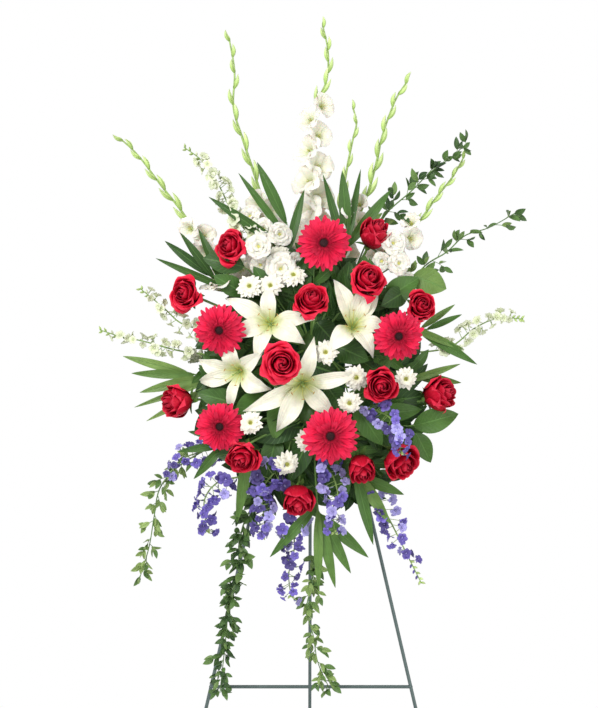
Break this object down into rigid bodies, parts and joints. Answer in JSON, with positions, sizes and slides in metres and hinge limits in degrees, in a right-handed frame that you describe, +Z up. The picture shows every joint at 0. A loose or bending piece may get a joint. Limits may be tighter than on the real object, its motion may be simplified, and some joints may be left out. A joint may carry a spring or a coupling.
{
  "type": "standing funeral spray on an easel",
  "caption": "Standing funeral spray of roses, gerberas, lilies, gladioli and greens in wet foam on a folding three-legged wire easel.",
  "frame": {"origin": "on the floor, under the middle of the whole part's bounding box", "axes": "+Z up, -Y towards the viewer, whom the flowers face, +X to the viewer's right"},
  "size_m": [0.7784, 0.6824, 1.6482],
  "materials": {
    "wire": "satin grey-green enamel",
    "tray": "matt dark green",
    "tape": "matt green waterproof tape",
    "foam": "matt porous green",
    "rose_petals": "soft satin petal, crimson",
    "gerbera_petals": "soft satin petal, red with a dark eye",
    "lily_petals": "soft satin petal, cream white with a yellow-green throat",
    "gladiolus": "pale green buds and stems, white florets",
    "larkspur": "white florets on a green stem",
    "delphinium": "blue-violet florets on a green stem",
    "daisies": "white button flowers on green stems",
    "sprigs": "satin mid-green leaves",
    "greens": "satin dark green leaves"
  },
  "bodies": {
    "spray": {"daisies_lower": "daisies", "daisies_right": "daisies", "daisies_upper": "daisies", "delphinium_bottom": "delphinium", "delphinium_far_left": "delphinium", "delphinium_far_right": "delphinium", "delphinium_left": "delphinium", "delphinium_lower_left": "delphinium", "delphinium_lower_right": "delphinium", "delphinium_right": "delphinium", "easel_cross_wire": "wire", "easel_head": "wire", "easel_leg_left": "wire", "easel_leg_right": "wire", "easel_rest_wire": "wire", "foam_block": "foam", "gerbera_left": "gerbera_petals", "gerbera_lower": "gerbera_petals", "gerbera_lower_left": "gerbera_petals", "gerbera_right": "gerbera_petals", "gerbera_top": "gerbera_petals", "gladiolus_centre": "gladiolus", "gladiolus_far_left": "gladiolus", "gladiolus_far_right": "gladiolus", "gladiolus_left": "gladiolus", "gladiolus_right": "gladiolus", "gladiolus_short": "gladiolus", "greens_lower": "greens", "greens_upper": "greens", "holder_tray": "tray", "larkspur_far_left": "larkspur", "larkspur_left": "larkspur", "larkspur_right": "larkspur", "larkspur_upper_left": "larkspur", "lily_front": "lily_petals", "lily_left": "lily_petals", "lily_upper_left": "lily_petals", "lily_upper_right": "lily_petals", "rose_bottom": "rose_petals", "rose_centre": "rose_petals", "rose_far_right": "rose_petals", "rose_left": "rose_petals", "rose_low_left": "rose_petals", "rose_low_middle": "rose_petals", "rose_low_right": "rose_petals", "rose_lower_left": "rose_petals", "rose_middle_right": "rose_petals", "rose_right": "rose_petals", "rose_top_right": "rose_petals", "rose_upper_left": "rose_petals", "rose_upper_middle": "rose_petals", "rose_upper_right": "rose_petals", "sprig_long": "sprigs", "sprig_lower_left": "sprigs", "sprig_middle": "sprigs", "sprig_right": "sprigs", "sprig_upper_right": "sprigs", "tape_lower": "tape", "tape_upper": "tape"},
    "back_leg": {"easel_leg_back": "wire"}
  },
  "joints": [
    {"name": "back_leg_fold", "type": "hinge", "parent": "spray", "child": "back_leg", "pos_m": [-0.002, -0.07247, 1.128], "axis": [1, 0, 0], "range_deg": [-21, 0]}
  ]
}
